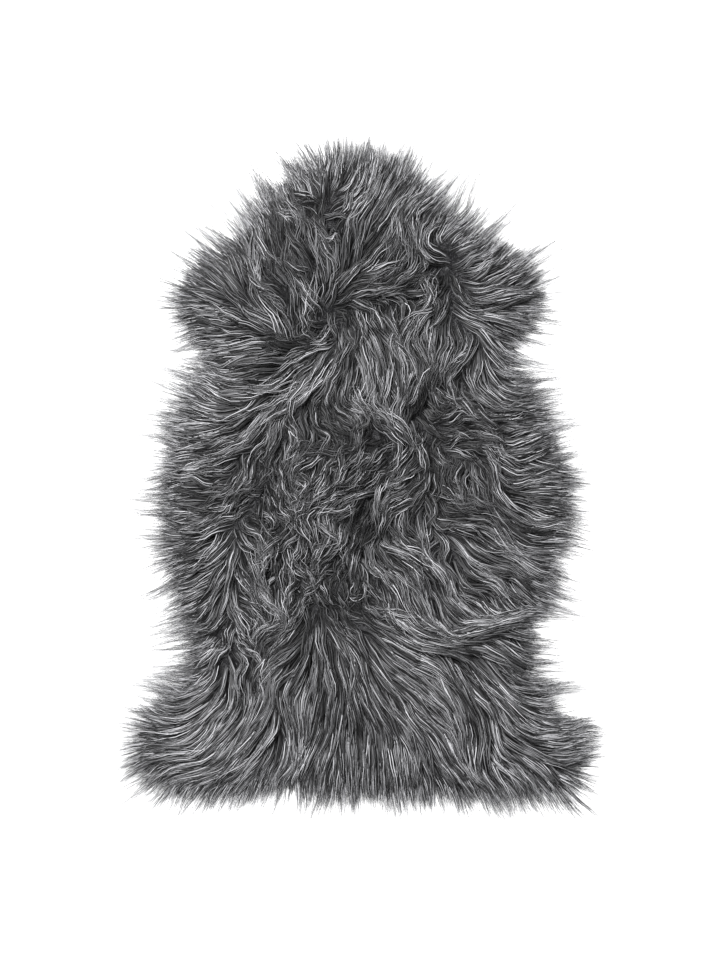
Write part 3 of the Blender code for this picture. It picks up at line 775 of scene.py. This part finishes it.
def shade_guides(path_x, path_y, level, messy):
    """How pale each guide is, from 0 to about 1, with its painted light and shade."""
    luck = rng.uniform(-OWN_SHADE, OWN_SHADE, len(level)) * (0.3 + messy)
    shade = SHADE + luck + HIGH_LIGHT * level
    from_rim = read(edge, path_x[:, 0], path_y[:, 0]) / RIM_LIGHT_WIDTH
    shade += RIM_LIGHT * np.clip(1 - from_rim, 0, 1)
    shade += CATCH_LIGHT * read(catching, path_x, path_y)[:, UPPER:].mean(axis=1)
    shade += read(paler, path_x, path_y).mean(axis=1)
    # Hair that lies over a parting is painted darker, as shade in the gap.
    return shade * (1 - PARTING_SHADE * read(parted, path_x, path_y)[:, UPPER:].max(axis=1))


# %% Put the three together
BEND_WAVE = 34 * MM
BEND = (0.05, 0.7)         # radians, how far a guide bends to and fro
TURN = (0.04, 0.4)         # radians, how far each guide turns off the comb by itself
TUFT_TURN = (0.07, 0.38)   # radians, how far the guides of a tuft turn together
TUFT_SWELL = (0.08, 0.2)   # how much higher they stand, as a share


def comb_guides(name, x, y, length, past_rim, level, brake):
    """Guides as one curves object. Each point holds its lift, its shade and its tangle."""
    messy = read(tangle, x, y)
    bend = tangled(BEND, messy)[:, None] * noise_along(length / BEND_WAVE)
    turn = rng.normal(0, 1, len(x)) * tangled(TURN, messy)
    turn += read(sway, x, y) * tangled(TUFT_TURN, messy)
    level = level * (1 + tangled(TUFT_SWELL, messy) * read(swell, x, y))
    path_x, path_y = walk_comb(x, y, turn, bend, length, past_rim, brake)
    bed, lift = lift_guides(path_x, path_y, length, level, messy)
    shade = shade_guides(path_x, path_y, level, messy)
    held = [lift, np.tile(shade[:, None], STEPS), np.tile(messy[:, None], STEPS)]
    curves = bpy.data.hair_curves.new(name)
    curves.add_curves([STEPS] * len(x))
    paths = np.stack([path_x, path_y, bed + lift], axis=2)
    curves.points.foreach_set("position", paths.ravel().astype(np.float32))
    layer = curves.attributes.new("held", "FLOAT_VECTOR", "POINT")
    layer.data.foreach_set("vector", np.stack(held, axis=2).ravel().astype(np.float32))
    guides = bpy.data.objects.new(name, curves)
    bpy.context.collection.objects.link(guides)
    return guides


# %% Guides over the pelt
LOCK_PITCH = 13 * MM
INNER = 4 * MM         # these guides root further than this from the rim

x, y = scattered(LOCK_PITCH, 4 * MM)
inner = read(edge, x, y) > INNER
x, y = x[inner], y[inner]
messy = read(tangle, x, y)
length = rng.uniform(70, 110, len(x)) * MM * (1 - 0.75 * messy)
past_rim = rng.uniform(2, 24, len(x)) * MM
level = 1 - rng.uniform(0.0, 0.5, len(x)) * (0.45 + messy)
body_guides = comb_guides("body_guides", x, y, length, past_rim, level, 12 * MM)
print(len(x), "guides over the pelt")

# %% Guides along the rim, and the longer ones of the fringe
RIM_PITCH = 5 * MM
RIM_BAND = 14 * MM     # the hair along the rim roots within this distance of it

x, y = scattered(RIM_PITCH, 2.5 * MM)
outer = read(edge, x, y) < RIM_BAND
x, y = x[outer], y[outer]
near = np.argmin(np.hypot(x[:, None] - locks[:, 0], y[:, None] - locks[:, 1]), axis=1)
rim_reach = reach[near] * read(longer, x, y)
past_rim = rim_reach * rng.uniform(0.65, 1.4, len(x))
length = past_rim * 1.3 + read(edge, x, y)
level = rng.uniform(0.1, 1.0, len(x))
rim_guides = comb_guides("rim_guides", x, y, length, past_rim, level, 25 * MM)
past_rim = rim_reach * rng.uniform(1.3, 3.4, len(x))
length = past_rim * 1.1 + read(edge, x, y)
fringe_guides = comb_guides("fringe_guides", x, y, length, past_rim, level, 18 * MM)
print(len(x), "guides along the rim")

# %% [markdown]
# ## The hair itself
#
# Each hair is a flat ribbon about a millimetre wide, two triangles for each step, that tapers
# to a point. Blender can draw much finer hair as curves, but curves are no mesh and are lost
# when the rug is exported. Ribbons stay, and the streaks of painted sheen in their colour make
# one pass for several strands.
#
# Geometry Nodes scatter the roots on the underwool, find each root's guide, bend a straight
# line into the guide's shape and give it a width. One tree makes all the hair. Only its named
# inputs differ from region to region.

# %% The tree and its inputs
INPUTS = {
    "Guides": "Object", "Hairs per m2": "Float", "Points": "Int", "Width": "Float",
    "Gather": "Float", "Lock": "Float", "Stray": "Float", "Crimp": "Float", "Shortest": "Float",
    "Contrast": "Float", "Thinning": "Float", "Seed": "Int", "Material": "Material",
}

grow_hair = bpy.data.node_groups.new("grow hair", "GeometryNodeTree")
ends = grow_hair.interface
ends.new_socket(name="Bed", in_out="INPUT", socket_type="NodeSocketGeometry")
for name, kind in INPUTS.items():
    ends.new_socket(name=name, in_out="INPUT", socket_type="NodeSocket" + kind)
ends.new_socket(name="Hair", in_out="OUTPUT", socket_type="NodeSocketGeometry")
graph = Graph(grow_hair)
given = graph.add("NodeGroupInput")
print("the tree takes a bed and", len(INPUTS), "other inputs")

# %% Scatter the roots, and find the guide that each one follows
def luck(low, high, salt):
    """A random number for each hair. The salt keeps one draw apart from another."""
    return graph.add("FunctionNodeRandomValue", {"data_type": "FLOAT"},
                     {"Min": low, "Max": high, "Seed": given.out("Seed") + salt})


points = graph.add("GeometryNodeDistributePointsOnFaces", {},
                   {"Mesh": given, "Density": given.out("Hairs per m2"), "Seed": given.out("Seed")})
guides = graph.add("GeometryNodeObjectInfo", {}, {"Object": given.out("Guides")}).out("Geometry")
starts = graph.add("GeometryNodeCurveToPoints", {"mode": "COUNT"}, {"Curve": guides, "Count": 1})
here = graph.add("GeometryNodeInputPosition")
nearest = graph.add("GeometryNodeSampleNearest", {"domain": "POINT"},
                    {"Geometry": starts, "Sample Position": here})
# Span is how much of its guide a hair follows, rank how near the top of its lock it lies,
# noise where it reads the noise that makes it stray, and dye how pale the wool grew.
roots, own = graph.capture(points, "POINT", {
    "root": ("VECTOR", here),
    "guide": ("INT", nearest),
    "span": ("FLOAT", luck(given.out("Shortest"), 1.0, 1)),
    "rank": ("FLOAT", luck(0.3, 1.0, 2)),
    "tilt": ("FLOAT", luck(-1.0, 1.0, 4)),
    "width": ("FLOAT", luck(0.6, 1.3, 5)),
    "noise": ("FLOAT", luck(0.0, 500.0, 6)),
    "dye": ("FLOAT", luck(0.2, 1.25, 7)),
})
print("each hair holds its own", ", ".join(own))

# %% Put a straight line on every root, and lay it along its guide
line = graph.add("GeometryNodeCurvePrimitiveLine", {}, {"End": (0.0, 0.0, 1.0)})
line = graph.add("GeometryNodeResampleCurve", {}, {"Curve": line, "Count": given.out("Points")})
lines = graph.add("GeometryNodeInstanceOnPoints", {}, {"Points": roots, "Instance": line})
lines = graph.add("GeometryNodeRealizeInstances", {}, {"Geometry": lines})
t = graph.add("GeometryNodeSplineParameter")
held = graph.add("GeometryNodeInputNamedAttribute", {"data_type": "FLOAT_VECTOR"}, {"Name": "held"})


def guide_at(factor):
    """What the hair's guide holds at a share of its length."""
    sockets = {"Curves": guides, "Value": held, "Factor": factor, "Curve Index": own["guide"]}
    return graph.add("GeometryNodeSampleCurve", {"mode": "FACTOR", "data_type": "FLOAT_VECTOR"}, sockets)


along = guide_at(t * own["span"])
lift, shade, messy = graph.parts(along)
apart = own["root"] - guide_at(0.0).out("Position")
gather = 1 - given.out("Gather") * t ** 1.4
place = along.out("Position") + apart * gather
print(len(grow_hair.nodes), "nodes so far")

# %% Let each hair stray and ripple by itself
def drift(pace, octaves, where):
    """Noise that moves a point as it runs along the hair, by up to half a unit each way."""
    noise = graph.noise("4D", Vector=graph.point(X=t * pace), W=where, Scale=1.0, Detail=octaves)
    return noise.out("Color") - (0.5, 0.5, 0.5)


place = place + drift(0.9, 0.0, own["noise"]) * (given.out("Stray") * (0.25 + messy) * t)
place = place + drift(3.2, 1.0, own["noise"] + 40.0) * (given.out("Crimp") * (0.15 + messy) * t)
print(len(grow_hair.nodes), "nodes so far")

# %% Sink the lower hairs, and those in the valleys between two locks
LOWEST = 0.8 * MM      # no hair dips below this

share = graph.maths("LENGTH", apart) / given.out("Lock")
valley = graph.maths("MINIMUM", share, 1.0) ** 2.0
sunk = lift * ((1 - own["rank"]) * 0.6 + valley * 0.3)
across, up_back, height = graph.parts(place)
height = graph.maths("MAXIMUM", height - sunk, LOWEST)
place = graph.point(X=across, Y=up_back, Z=height)
hair = graph.add("GeometryNodeSetPosition", {}, {"Geometry": lines, "Position": place})
hair = graph.add("GeometryNodeSetCurveNormal", {"mode": "Z_UP"}, {"Curve": hair})
hair = graph.add("GeometryNodeSetCurveTilt", {}, {"Curve": hair, "Tilt": own["tilt"] * 0.9})
print(len(grow_hair.nodes), "nodes so far")

# %% Painted shade low down and in the valleys, paler on top
# Painted shade darkens the hairs that lie low and those in the valleys; dye is the wool's own colour.
tone = own["rank"] ** given.out("Contrast") * own["dye"]
tone = tone * (0.3 + 0.7 * shade) * (1 - 0.2 * valley)
tone = graph.maths("MINIMUM", tone, 1.0)
hair, kept_tone_and_shade = graph.capture(hair, "CURVE", {"tone": ("FLOAT", tone)})
hair, kept_t = graph.capture(hair, "POINT", {"t": ("FLOAT", t)})

# %% Draw a ribbon along each hair
HALF_WIDTH = MM / 2    # of a ribbon before it is scaled

profile = graph.add("GeometryNodeCurvePrimitiveLine", {},
                    {"Start": (-HALF_WIDTH, 0.0, 0.0), "End": (HALF_WIDTH, 0.0, 0.0)})
profile, kept_side = graph.capture(profile, "POINT", {"side": ("FLOAT", t)})
thin = 1 - 0.92 * t ** given.out("Thinning")
width = own["width"] * (1.25 - 0.5 * own["rank"]) * thin * given.out("Width")
ribbon = graph.add("GeometryNodeCurveToMesh", {},
                   {"Curve": hair, "Profile Curve": profile, "Scale": width})
print(len(grow_hair.nodes), "nodes so far")

# %% Lay the ribbons on a map, where a column stands for a tone
SHADES = 32            # columns of the map, from the darkest hairs to the lightest
COLUMN_EDGE = 0.1      # the part of a column that is left free on each side

column = graph.maths("FLOOR", kept_tone_and_shade["tone"] * (SHADES - 0.01))
in_column = COLUMN_EDGE + kept_side["side"] * (1 - 2 * COLUMN_EDGE)
on_map = graph.point(X=(column + in_column) / SHADES, Y=kept_t["t"])
ribbon = graph.add("GeometryNodeStoreNamedAttribute", {"data_type": "FLOAT2", "domain": "CORNER"},
                   {"Geometry": ribbon, "Name": "OFBake", "Value": on_map})
ribbon = graph.add("GeometryNodeSetShadeSmooth", {}, {"Geometry": ribbon})
ribbon = graph.add("GeometryNodeRealizeInstances", {}, {"Geometry": ribbon})
ribbon = graph.add("GeometryNodeSetMaterial", {},
                   {"Geometry": ribbon, "Material": given.out("Material")})
graph.add("NodeGroupOutput", {}, {"Hair": ribbon})
print("the tree has", len(grow_hair.nodes), "nodes")

# %% [markdown]
# ## The finishes
#
# There are three: the hair, the underwool and the suede of the skin. A hair reads its colour
# from its place on the map: the column gives how dark or pale it is, and the way up the map runs
# from its root to its tip. So a hair is dark where it leaves the pelt, partly its own colour and
# partly painted shade deep in the pile, and pale further out, and streaks of painted sheen run
# along it. Two hairs of one lock differ, and the colour turns darker towards the sides of a
# ribbon, a painted shade which makes the flat strip look round.
#
# Blender has a shader for hair, but it is lost in an export too. The plain shader keeps its
# baked colour. The underwool and the suede have no such map. They read their place on the rug,
# so their flecks and pores have the same size everywhere.

# %% A new material
def new_material(name, constants):
    """A material, the graph of its tree, and the inputs of its main shader."""
    material = bpy.data.materials.new(name)
    material.use_nodes = True
    inputs = material.node_tree.nodes["Principled BSDF"].inputs
    for socket, value in constants.items():
        inputs[socket].default_value = value
    return material, Graph(material.node_tree), inputs


# %% Hair
ROUND_SHADE = 1.5      # a strand is round, so its two sides turn from the light
ROOT_END = 0.4         # the share of a hair over which the dark of its root fades out
STREAKS = 160.0        # how fast the streaks change from one tone to the next
PALEST = 0.75
BLACK = (0.0, 0.0, 0.0, 1.0)
COOL_WHITE = (1.0, 1.0, 1.04, 1.0)


def hair_material(name, tip_light, root_light):
    """Hair from dark roots to paler ends, with painted light and shade. The lights say how pale its root
    is under its painted shade, and how much painted light shines through its tip.
    """
    material, graph, inputs = new_material(name, {"Roughness": 0.5, "Specular IOR Level": 0.35})
    column, along, _ = graph.parts(graph.add("ShaderNodeUVMap", {"uv_map": "OFBake"}))
    column = column * SHADES
    tone = graph.maths("FLOOR", column) / SHADES
    side = graph.maths("FRACT", column) * 2 - 1
    # Painted shade: each ribbon is darker towards its two sides, as a round strand would be.
    side_shade = 1 - ROUND_SHADE * side ** 2.0
    # Painted shade deep in the pile, with the wool's own darker base: each hair is darker towards its
    # root.
    lit = graph.add("ShaderNodeMapRange", {"interpolation_type": "SMOOTHSTEP"}, {
        "Value": along, "From Min": 0.0, "From Max": ROOT_END, "To Min": root_light, "To Max": 1.0,
    })
    # Streaks of painted sheen: each hair turns brighter and darker in turn along its length.
    place = graph.point(X=tone * STREAKS, Y=along * 2.5)
    streaks = graph.noise("2D", Vector=place, Scale=1.0, Detail=1.0)
    # The power keeps most hairs dark and lets a few shine.
    grey = (0.015 + 2.05 * tone ** 1.8) * lit * side_shade * (0.5 + 1.0 * streaks)
    # Painted light: tip_light makes the tips paler, as if light shone through them.
    grey = graph.maths("MINIMUM", grey + tip_light * along ** 3.0, PALEST)
    graph.link(graph.mixed(grey, BLACK, COOL_WHITE), inputs["Base Color"])
    return material


# %% Underwool and suede
def underwool_material():
    """Short matted wool, painted near black as shade deep in the pile, with paler flecks where its ends
    curl up.
    """
    material, graph, inputs = new_material(
        "underwool", {"Roughness": 0.95, "Specular IOR Level": 0.1})
    place = graph.add("ShaderNodeTexCoord").out("Object")
    curls = graph.noise("3D", Vector=place, Scale=420.0, Detail=3.0, Distortion=1.5)
    mats = graph.noise("3D", Vector=place, Scale=60.0, Detail=2.0)
    flecks = graph.add("ShaderNodeMapRange", {"interpolation_type": "SMOOTHSTEP"},
                       {"Value": curls * 0.7 + mats * 0.3, "From Min": 0.42, "From Max": 0.68})
    # Near black: painted shade of the deep pile, with paler flecks.
    colour = graph.mixed(flecks, (0.010, 0.010, 0.011, 1.0), (0.10, 0.10, 0.104, 1.0))
    graph.link(colour, inputs["Base Color"])
    bump = graph.add("ShaderNodeBump", {}, {"Strength": 0.6, "Distance": 1.5 * MM, "Height": curls})
    graph.link(bump, inputs["Normal"])
    return material


def suede_material():
    """The flesh side of the skin: matt, mottled, with a short nap and fine pores."""
    material, graph, inputs = new_material("suede", {})
    place = graph.add("ShaderNodeTexCoord").out("Object")
    mottle = graph.noise("3D", Vector=place, Scale=14.0, Detail=5.0)
    nap = graph.noise("3D", Vector=place, Scale=900.0, Detail=2.0)
    pores = graph.add("ShaderNodeTexVoronoi", {}, {"Vector": place, "Scale": 260.0})
    worn = graph.add("ShaderNodeMapRange", {},
                     {"Value": mottle * 0.75 + nap * 0.25, "From Min": 0.35, "From Max": 0.65})
    colour = graph.mixed(worn, (0.27, 0.25, 0.235, 1.0), (0.44, 0.42, 0.395, 1.0))
    graph.link(colour, inputs["Base Color"])
    graph.link(0.82 + 0.15 * mottle, inputs["Roughness"])
    bump = graph.add("ShaderNodeBump", {},
                     {"Strength": 0.35, "Distance": 0.5 * MM, "Height": nap + pores * 0.5})
    graph.link(bump, inputs["Normal"])
    return material


underwool.data.materials.append(underwool_material())
skin.data.materials.append(suede_material())

# %% [markdown]
# ## Growing the wool
#
# The wool is grown in seven pieces, five over the body and two along the rim, so that no piece
# gets too heavy and each can be looked at alone. Over the body the hairs of a lock gather
# towards its tip. At the rim they leave the skin, lie open and taper sooner, and a sparse
# fringe of long thin hairs goes furthest out. Each piece grows on its own part of the underwool
# and is then kept as a plain mesh.

# %% What each kind of hair is like
# Width is in millimetres. Gather draws the hairs of a lock together, and Lock is how far from
# its guide a hair lies in the valley. Stray and Crimp are how far a hair wanders and ripples,
# Shortest is the least share of its guide that it follows. The power after it is how much
# painted shade darkens the lower hairs, and Thinning is a power for how late a hair begins to taper.
BODY_HAIR = {
    "Guides": body_guides, "Hairs per m2": 152000.0, "Points": 7, "Width": 1.25, "Gather": 0.3,
    "Lock": 8 * MM, "Stray": 16 * MM, "Crimp": 5 * MM, "Shortest": 0.5, "Contrast": 3.0,
    "Thinning": 3.0, "Material": hair_material("long hair", 0.0, 0.3),
}
# Rim hair has painted light through its tips and less painted shade at its roots.
RIM_HAIR = BODY_HAIR | {
    "Guides": rim_guides, "Hairs per m2": 280000.0, "Width": 1.2, "Gather": 0.1, "Lock": 6 * MM,
    "Stray": 44 * MM, "Shortest": 0.3, "Contrast": 2.4, "Thinning": 1.6,
    "Material": hair_material("rim hair", 0.12, 0.65),
}
FRINGE_HAIR = RIM_HAIR | {
    "Guides": fringe_guides, "Hairs per m2": 240000.0, "Width": 0.6, "Gather": 0.0,
    "Stray": 80 * MM, "Contrast": 1.5, "Thinning": 1.2,
}
print("finishes:", ", ".join(sorted(material.name for material in bpy.data.materials)))

# %% A part of the underwool, and the hair that grows on it
UPRIGHT = 0.02         # hair grows on faces whose normal rises more than this


def bed_faces(name, chosen):
    """A mesh with just the underwool's upper faces, where a test of their places picks them."""
    bm = bmesh.new()
    bm.from_mesh(underwool.data)
    centres = np.array([face.calc_center_median() for face in bm.faces])
    picked = chosen(centres[:, 0], centres[:, 1])
    extra = [face for face, keep in zip(bm.faces, picked) if face.normal.z < UPRIGHT or not keep]
    bmesh.ops.delete(bm, geom=extra, context="FACES")
    return as_object(bm, name)


def grow(bed, look):
    """Grow hair on a bed and keep it as a plain mesh."""
    modifier = bed.modifiers.new("hair", "NODES")
    modifier.node_group = grow_hair
    for item in grow_hair.interface.items_tree:
        if item.in_out == "INPUT" and item.name in look:
            modifier[item.identifier] = look[item.name]
    depsgraph = bpy.context.evaluated_depsgraph_get()
    mesh = bpy.data.meshes.new_from_object(bed.evaluated_get(depsgraph))
    bed.modifiers.clear()
    old = bed.data
    bed.data = mesh
    bpy.data.meshes.remove(old)
    mesh.name = bed.name
    print(bed.name, len(mesh.polygons) * 2, "triangles")
    return bed


# %% Grow it, piece by piece
def between(low, high):
    """A test that picks the places between two distances up the back, in metres."""
    return lambda x, y: (low <= y) & (y < high)


def near_rim(x, y):
    return read(edge, x, y) < RIM_BAND


# The name of a piece, the test for its part of the underwool, its hair and its seed.
PIECES = [
    ("wool_neck", between(0.23, 0.60), BODY_HAIR, 10),
    ("wool_shoulders", between(0.08, 0.23), BODY_HAIR, 20),
    ("wool_back", between(-0.075, 0.08), BODY_HAIR, 30),
    ("wool_loin", between(-0.245, -0.075), BODY_HAIR, 40),
    ("wool_haunches", between(-0.60, -0.245), BODY_HAIR, 50),
    ("wool_rim", near_rim, RIM_HAIR, 90),
    ("wool_fringe", near_rim, FRINGE_HAIR, 120),
]
wool = [
    grow(bed_faces(name, chosen), look | {"Seed": seed}) for name, chosen, look, seed in PIECES
]
for guides in (body_guides, rim_guides, fringe_guides):
    bpy.data.objects.remove(guides)

# %% [markdown]
# ## Light, floor and camera
#
# The photograph is a studio picture on white, taken from straight above in soft light. Several
# lamps could give that, but one round lamp up on the left with a white world around it is the
# plainest way, and easy to adjust. The floor is clear from below, so that the underside of the
# skin can be looked at. The camera's lens is worked out from the picture: one of its pixels
# shows 1.3 mm at the height of the wool.

# %% A floor that is clear from below
FLOOR_SIZE = 12            # metres
FLOOR_DROP = 0.5 * MM      # it lies this much lower than the skin, so the two never mix

bpy.ops.mesh.primitive_plane_add(size=FLOOR_SIZE, location=(0, 0, -FLOOR_DROP))
floor = bpy.context.object
floor.name = "floor"
material, graph, inputs = new_material("studio floor", {
    "Base Color": (0.9, 0.9, 0.9, 1.0), "Roughness": 0.9,
    "Emission Color": (1.0, 1.0, 1.0, 1.0), "Emission Strength": 0.5,
})
solid = Wire(graph, material.node_tree.nodes["Principled BSDF"].outputs["BSDF"])
clear = graph.add("ShaderNodeBsdfTransparent")
from_below = graph.add("ShaderNodeNewGeometry").out("Backfacing")
seen = graph.add("ShaderNodeMixShader", {}, {0: from_below, 1: solid, 2: clear})
graph.link(seen, material.node_tree.nodes["Material Output"].inputs["Surface"])
floor.data.materials.append(material)

# %% The lamp and the world
LAMP_PLACE = Vector((-0.9, 1.1, 2.6))
LAMP_SIZE = 0.6            # metres; a larger lamp has softer shadows
LAMP_POWER = 100           # watts
WORLD_LIGHT = 0.6

light = bpy.data.lights.new("key", "AREA")
light.shape = "DISK"
light.size = LAMP_SIZE
light.energy = LAMP_POWER
lamp = bpy.data.objects.new("key", light)
lamp.location = LAMP_PLACE
lamp.rotation_euler = (-LAMP_PLACE).to_track_quat("-Z", "Y").to_euler()
bpy.context.collection.objects.link(lamp)

world = bpy.data.worlds.new("studio")
bpy.context.scene.world = world
world.use_nodes = True
background = world.node_tree.nodes["Background"].inputs
background["Color"].default_value = (1, 1, 1, 1)
background["Strength"].default_value = WORLD_LIGHT
print(f"the lamp hangs {LAMP_PLACE.length:.1f} m from the middle of the rug")

# %% The camera
CAMERA_HEIGHT = 3.5    # metres
WOOL_HEIGHT = 0.045    # metres, where the picture's scale is taken
PICTURE_HEIGHT = 960   # pixels
PIXEL = 1.3 * MM       # what one of them shows
SENSOR = 36            # mm, the longer side of the camera's film

camera_data = bpy.data.cameras.new("camera")
camera_data.lens = SENSOR * (CAMERA_HEIGHT - WOOL_HEIGHT) / (PICTURE_HEIGHT * PIXEL)
camera_data.clip_end = 50
camera = bpy.data.objects.new("camera", camera_data)
camera.location = (PICTURE_MIDDLE[0] * MM, PICTURE_MIDDLE[1] * MM, CAMERA_HEIGHT)
bpy.context.collection.objects.link(camera)
bpy.context.scene.camera = camera
bpy.context.scene.view_settings.view_transform = "Standard"
print("lens", round(camera_data.lens), "mm")

# %% [markdown]
# ## What the pieces stand for
#
# The rug has no joint, so every piece rides on the one body, and all of them together take the
# place of the plain slab.

# %% Ride on the one body, in place of the slab
for piece in wool + [underwool, skin]:
    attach(piece, "root")
    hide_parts("sheepskin")
slab_mesh.free()
